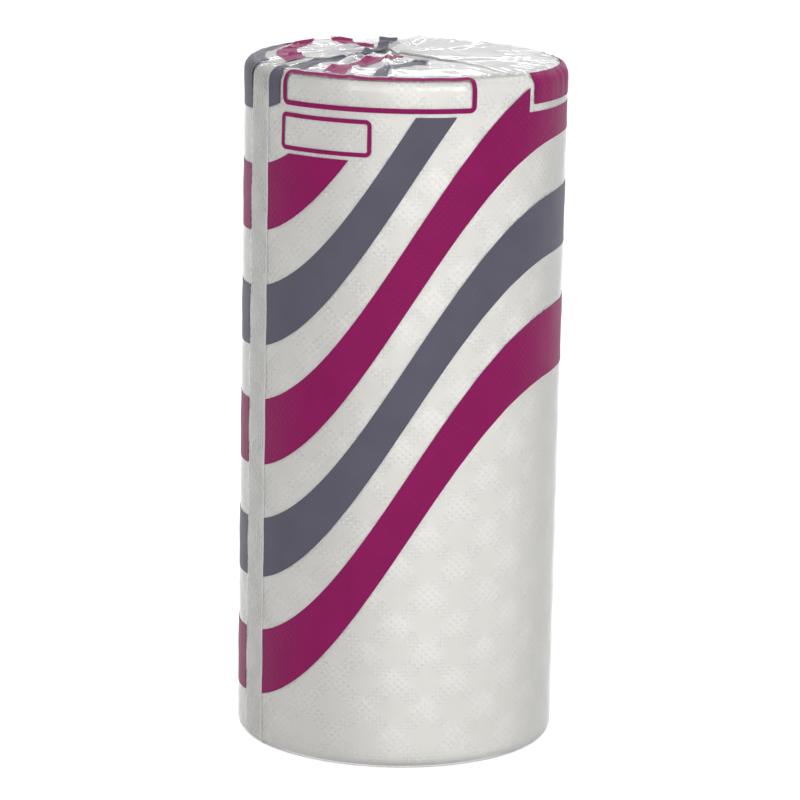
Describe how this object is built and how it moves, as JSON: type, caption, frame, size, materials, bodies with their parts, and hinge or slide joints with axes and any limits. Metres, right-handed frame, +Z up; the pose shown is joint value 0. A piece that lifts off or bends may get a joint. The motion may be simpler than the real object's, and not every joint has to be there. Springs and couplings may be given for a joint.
{
  "type": "paper towel roll",
  "caption": "Kitchen towel roll on a card core, wrapped tight in a clear printed film folded over both ends, standing on its end.",
  "frame": {"origin": "centre of the flat base, where the roll stands", "axes": "+Z up the axis of the roll, -Y towards the front of the printed wrap, the lap seam left of the front"},
  "size_m": [0.107, 0.107, 0.229],
  "materials": {
    "clear_film": "clear glossy polythene film",
    "magenta_ink": "ink printed on glossy film",
    "grey_ink": "ink printed on glossy film",
    "tissue_paper": "soft white tissue, embossed in diamonds",
    "core_board": "grey-brown spirally wound board"
  },
  "bodies": {
    "root": {"film_wrap": "clear_film", "magenta_print": "magenta_ink", "grey_print": "grey_ink", "paper_roll": "tissue_paper", "core_tube": "core_board"}
  },
  "joints": []
}
